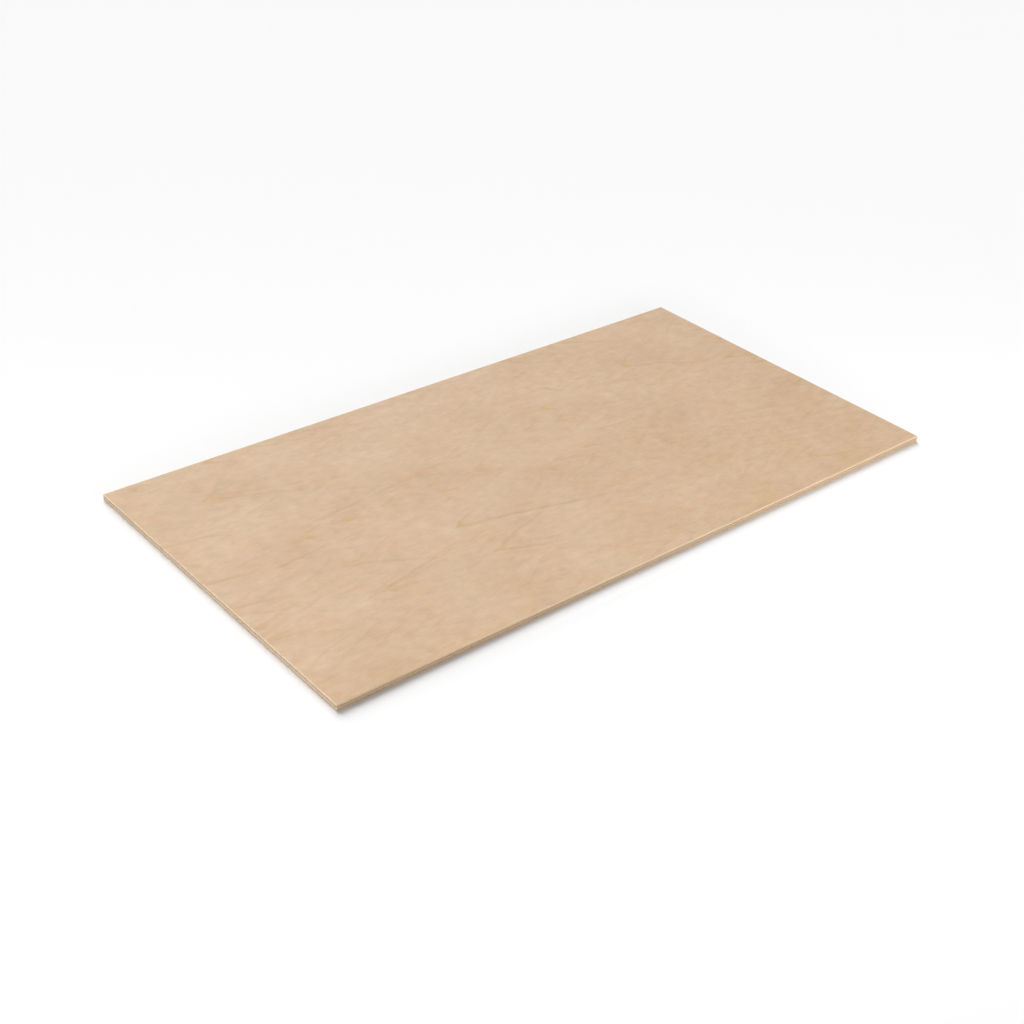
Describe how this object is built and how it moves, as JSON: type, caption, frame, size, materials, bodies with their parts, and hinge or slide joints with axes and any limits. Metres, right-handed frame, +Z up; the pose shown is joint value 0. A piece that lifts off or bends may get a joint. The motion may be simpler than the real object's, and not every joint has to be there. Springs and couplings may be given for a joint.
{
  "type": "plywood sheet",
  "caption": "Flat rectangular sheet of veneer-core plywood with square sawn edges, for cutting, sheathing, decking, shelving and cabinet panels.",
  "frame": {"origin": "middle of the underside", "axes": "+X along the sheet's length and the grain of the outer veneers, +Y across its width, +Z up through its thickness, out of the face veneer"},
  "size_m": [2.44, 1.22, 0.021],
  "materials": {
    "face_veneer": "satin",
    "back_veneer": "matte",
    "crossband": "matte",
    "centre_veneer": "matte"
  },
  "bodies": {
    "root": {"back_veneer": "back_veneer", "lower_crossband": "crossband", "centre_veneer": "centre_veneer", "upper_crossband": "crossband", "face_veneer": "face_veneer"}
  },
  "joints": []
}
